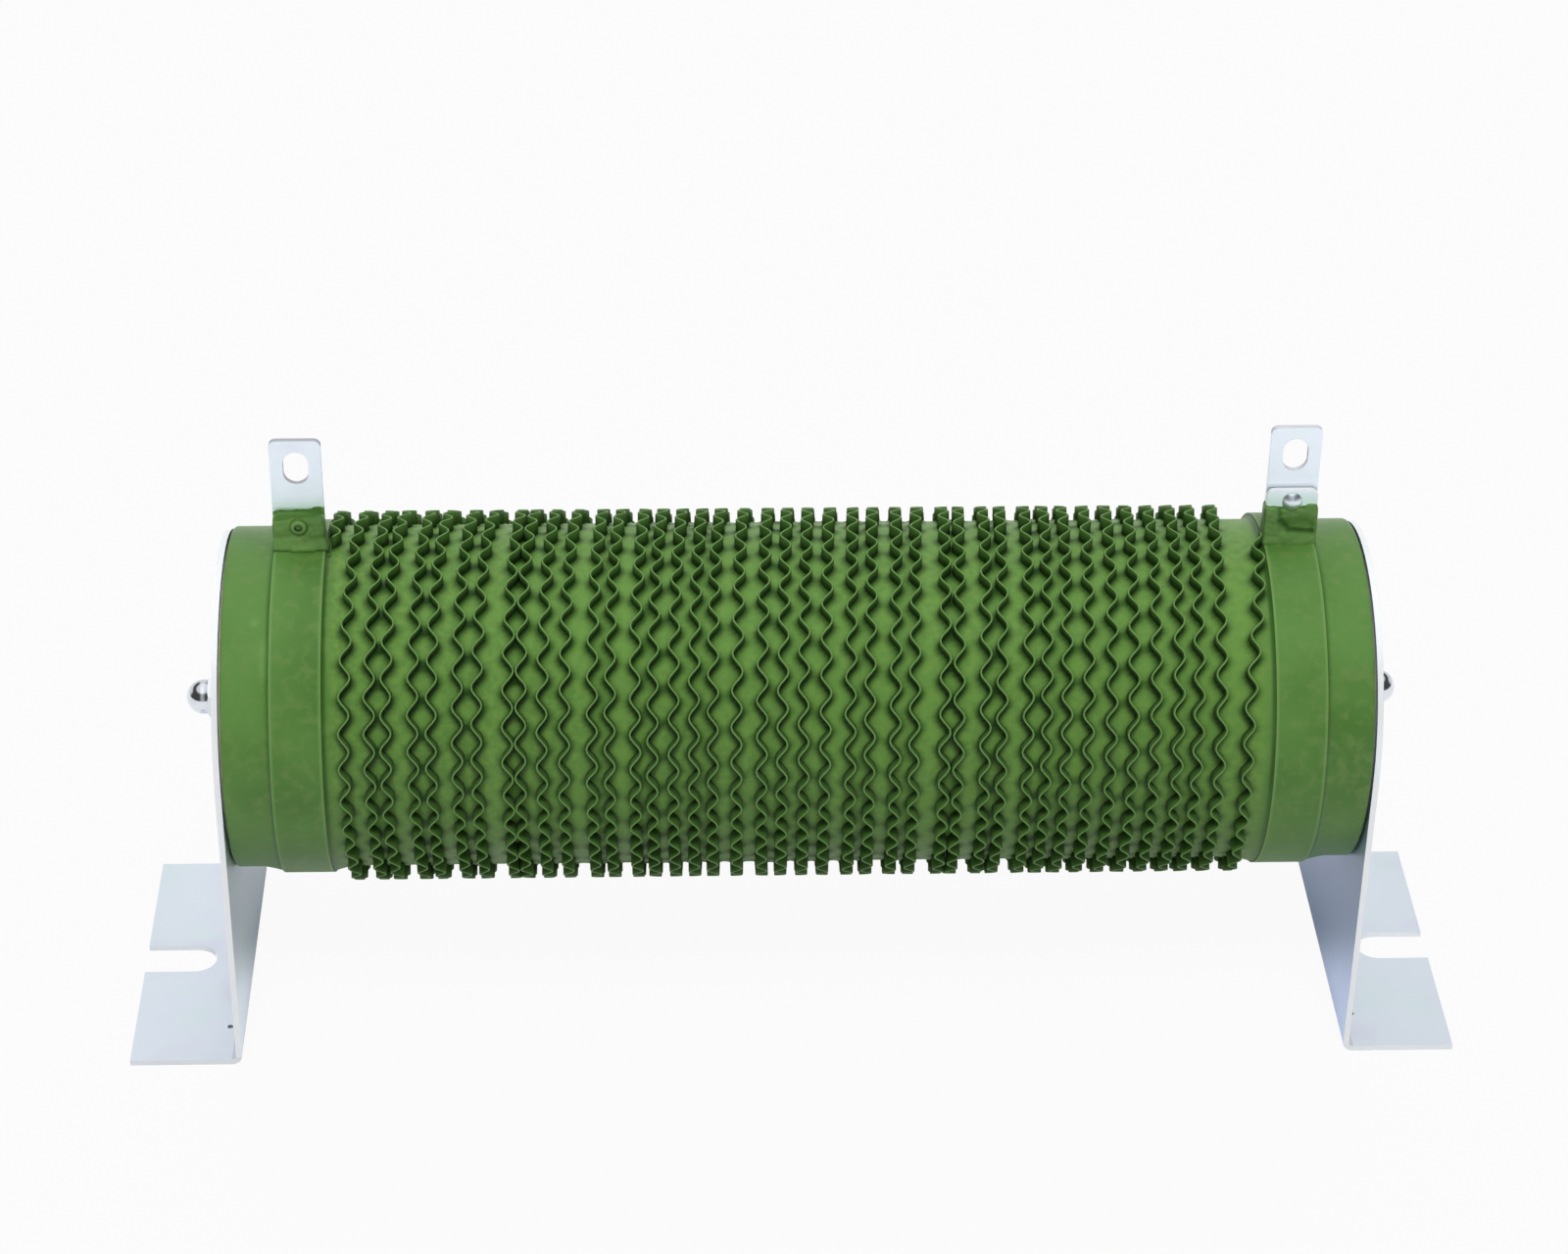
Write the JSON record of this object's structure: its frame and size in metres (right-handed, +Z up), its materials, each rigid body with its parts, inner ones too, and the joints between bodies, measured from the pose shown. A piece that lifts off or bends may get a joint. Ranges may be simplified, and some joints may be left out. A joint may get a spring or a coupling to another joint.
{
  "type": "corrugated wirewound resistor",
  "caption": "Power resistor: a green-coated ceramic tube wound on edge with a corrugated ribbon, with a riveted terminal lug near each end and slotted sheet metal feet.",
  "frame": {"origin": "on the floor, midway between the two feet", "axes": "+X along the tube from the left foot to the right foot, +Z up, lugs up"},
  "size_m": [0.2764, 0.076, 0.131],
  "materials": {
    "green_coat": "satin green heat-resistant coat on ceramic",
    "coated_ribbon": "satin green heat-resistant coat on resistance alloy",
    "coated_band": "zinc plated strip, green coat up to the foot of the lug",
    "zinc_plate": "bluish bright zinc plate",
    "bright_steel": "bright nickel plate",
    "mica": "pressed mica"
  },
  "bodies": {
    "root": {"ceramic_tube": "green_coat", "resistance_ribbon": "coated_ribbon", "left_terminal_band": "coated_band", "right_terminal_band": "coated_band", "left_band_rivet": "zinc_plate", "right_band_rivet": "zinc_plate", "left_foot_bracket": "zinc_plate", "right_foot_bracket": "zinc_plate", "left_end_cushion": "mica", "right_end_cushion": "mica", "through_rod": "bright_steel", "left_plain_washer": "bright_steel", "right_plain_washer": "bright_steel", "left_cap_nut": "bright_steel", "right_cap_nut": "bright_steel"}
  },
  "joints": []
}
